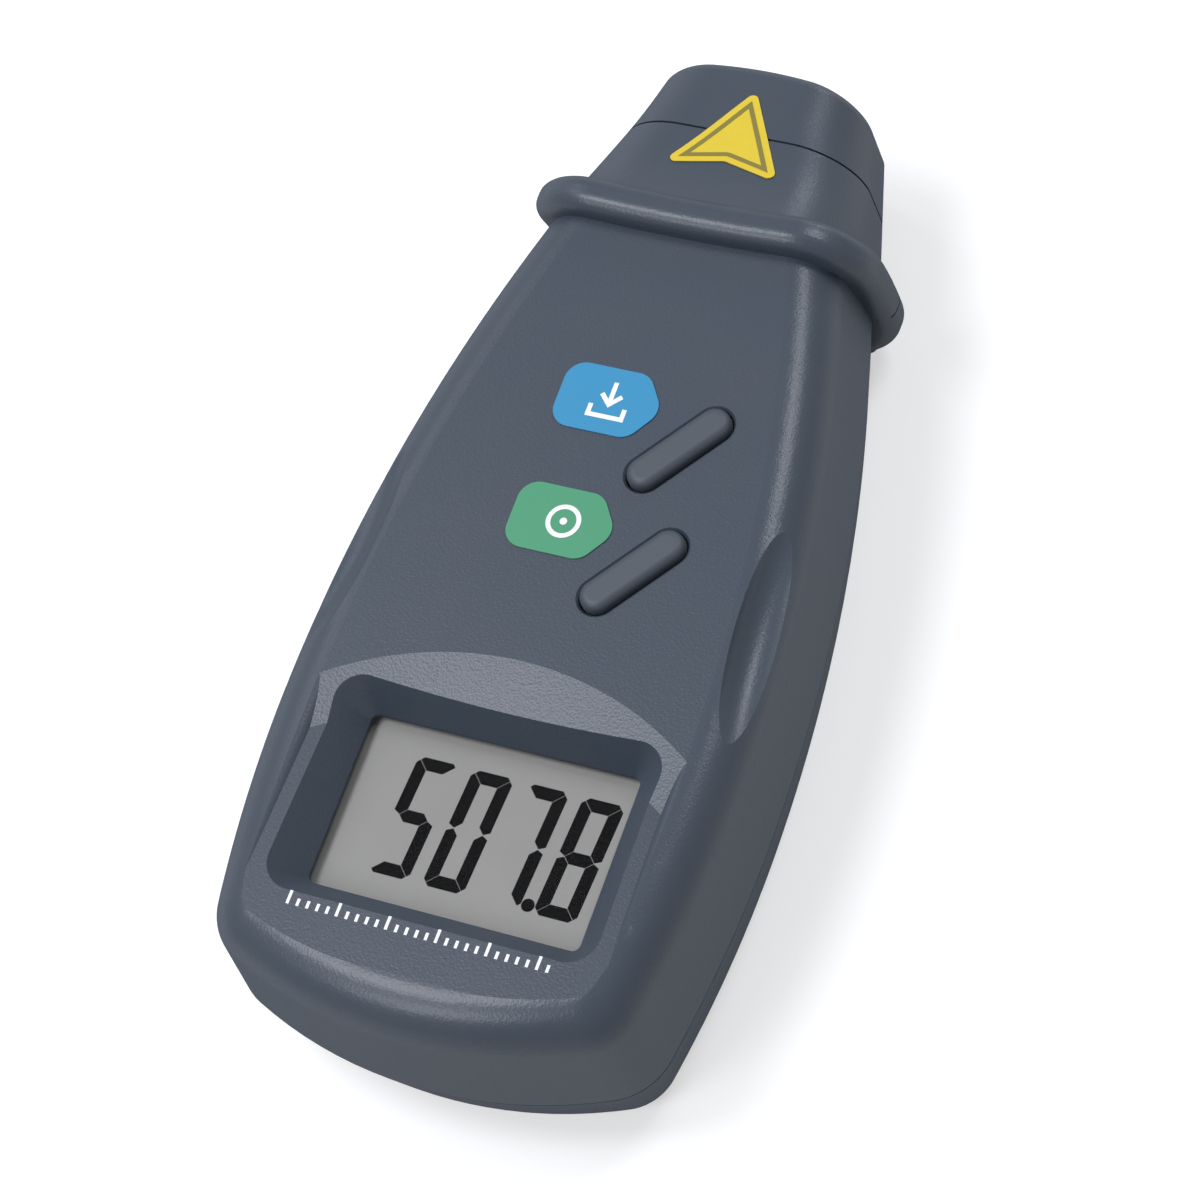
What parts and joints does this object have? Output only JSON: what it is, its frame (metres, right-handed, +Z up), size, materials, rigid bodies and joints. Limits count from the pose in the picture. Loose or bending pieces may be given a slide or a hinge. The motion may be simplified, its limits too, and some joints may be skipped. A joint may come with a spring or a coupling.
{
  "type": "handheld photo tachometer",
  "caption": "Handheld optical tachometer with a display set in a sloping well, slanted push buttons, a finger ring and a narrow nose with the optics.",
  "frame": {"origin": "centre of the plan outline, on the flat back face the instrument lies on", "axes": "+Y from the display end to the nose, +X to the right seen from the front, +Z up out of the face"},
  "size_m": [0.072, 0.158, 0.0385],
  "materials": {
    "case_plastic": "fine matt texture",
    "button_plastic": "satin",
    "window_clear": "polished clear plastic",
    "lcd_glass": "satin grey-green",
    "lcd_dark": "matt",
    "inner_plastic": "matt black",
    "zebra_rubber": "matt",
    "board": "green solder mask",
    "chip": "matt black",
    "steel": "bright",
    "aluminium": "satin",
    "brass": "satin",
    "lens": "polished",
    "battery_case": "gloss",
    "switch_plastic": "matt",
    "label_blue": "satin",
    "label_green": "satin",
    "label_yellow": "satin",
    "label_olive": "satin",
    "print_white": "matt"
  },
  "bodies": {
    "case": {"front_case": "case_plastic", "rear_case": "case_plastic", "nose_cap": "case_plastic", "battery": "battery_case", "battery_contacts": "steel", "display_window": "window_clear", "lcd_glass": "lcd_glass", "lcd_segments": "lcd_dark", "lcd_frame": "inner_plastic", "zebra_strip_upper": "zebra_rubber", "zebra_strip_lower": "zebra_rubber", "main_board": "board", "microcontroller": "chip", "crystal": "steel", "electrolytic_capacitor": "aluminium", "chip_parts": "chip", "board_header": "chip", "optics_board": "board", "optics_holder": "inner_plastic", "laser_barrel": "brass", "laser_lens": "lens", "laser_diode": "brass", "photo_sensor": "lens", "sensor_lens": "lens", "case_screws": "steel", "board_screws": "steel", "aim_label": "label_yellow", "aim_label_print": "label_olive", "legend_marks": "print_white", "mem_switch": "switch_plastic", "mem_label": "label_blue", "mem_label_print": "print_white", "test_switch": "switch_plastic", "test_label": "label_green", "test_label_print": "print_white"},
    "mem_key": {"mem_button": "button_plastic", "mem_switch_plunger": "switch_plastic"},
    "test_key": {"test_button": "button_plastic", "test_switch_plunger": "switch_plastic"},
    "door": {"battery_door": "case_plastic"}
  },
  "joints": [
    {"name": "mem_press", "type": "slide", "parent": "case", "child": "mem_key", "axis": [0, 0, -1], "range_m": [0, 0.0005], "stiffness_N_per_m": 600},
    {"name": "test_press", "type": "slide", "parent": "case", "child": "test_key", "axis": [0, 0, -1], "range_m": [0, 0.0005], "stiffness_N_per_m": 600},
    {"name": "battery_door_slide", "type": "slide", "parent": "case", "child": "door", "axis": [0, -1, 0], "range_m": [0, 0.058]}
  ]
}
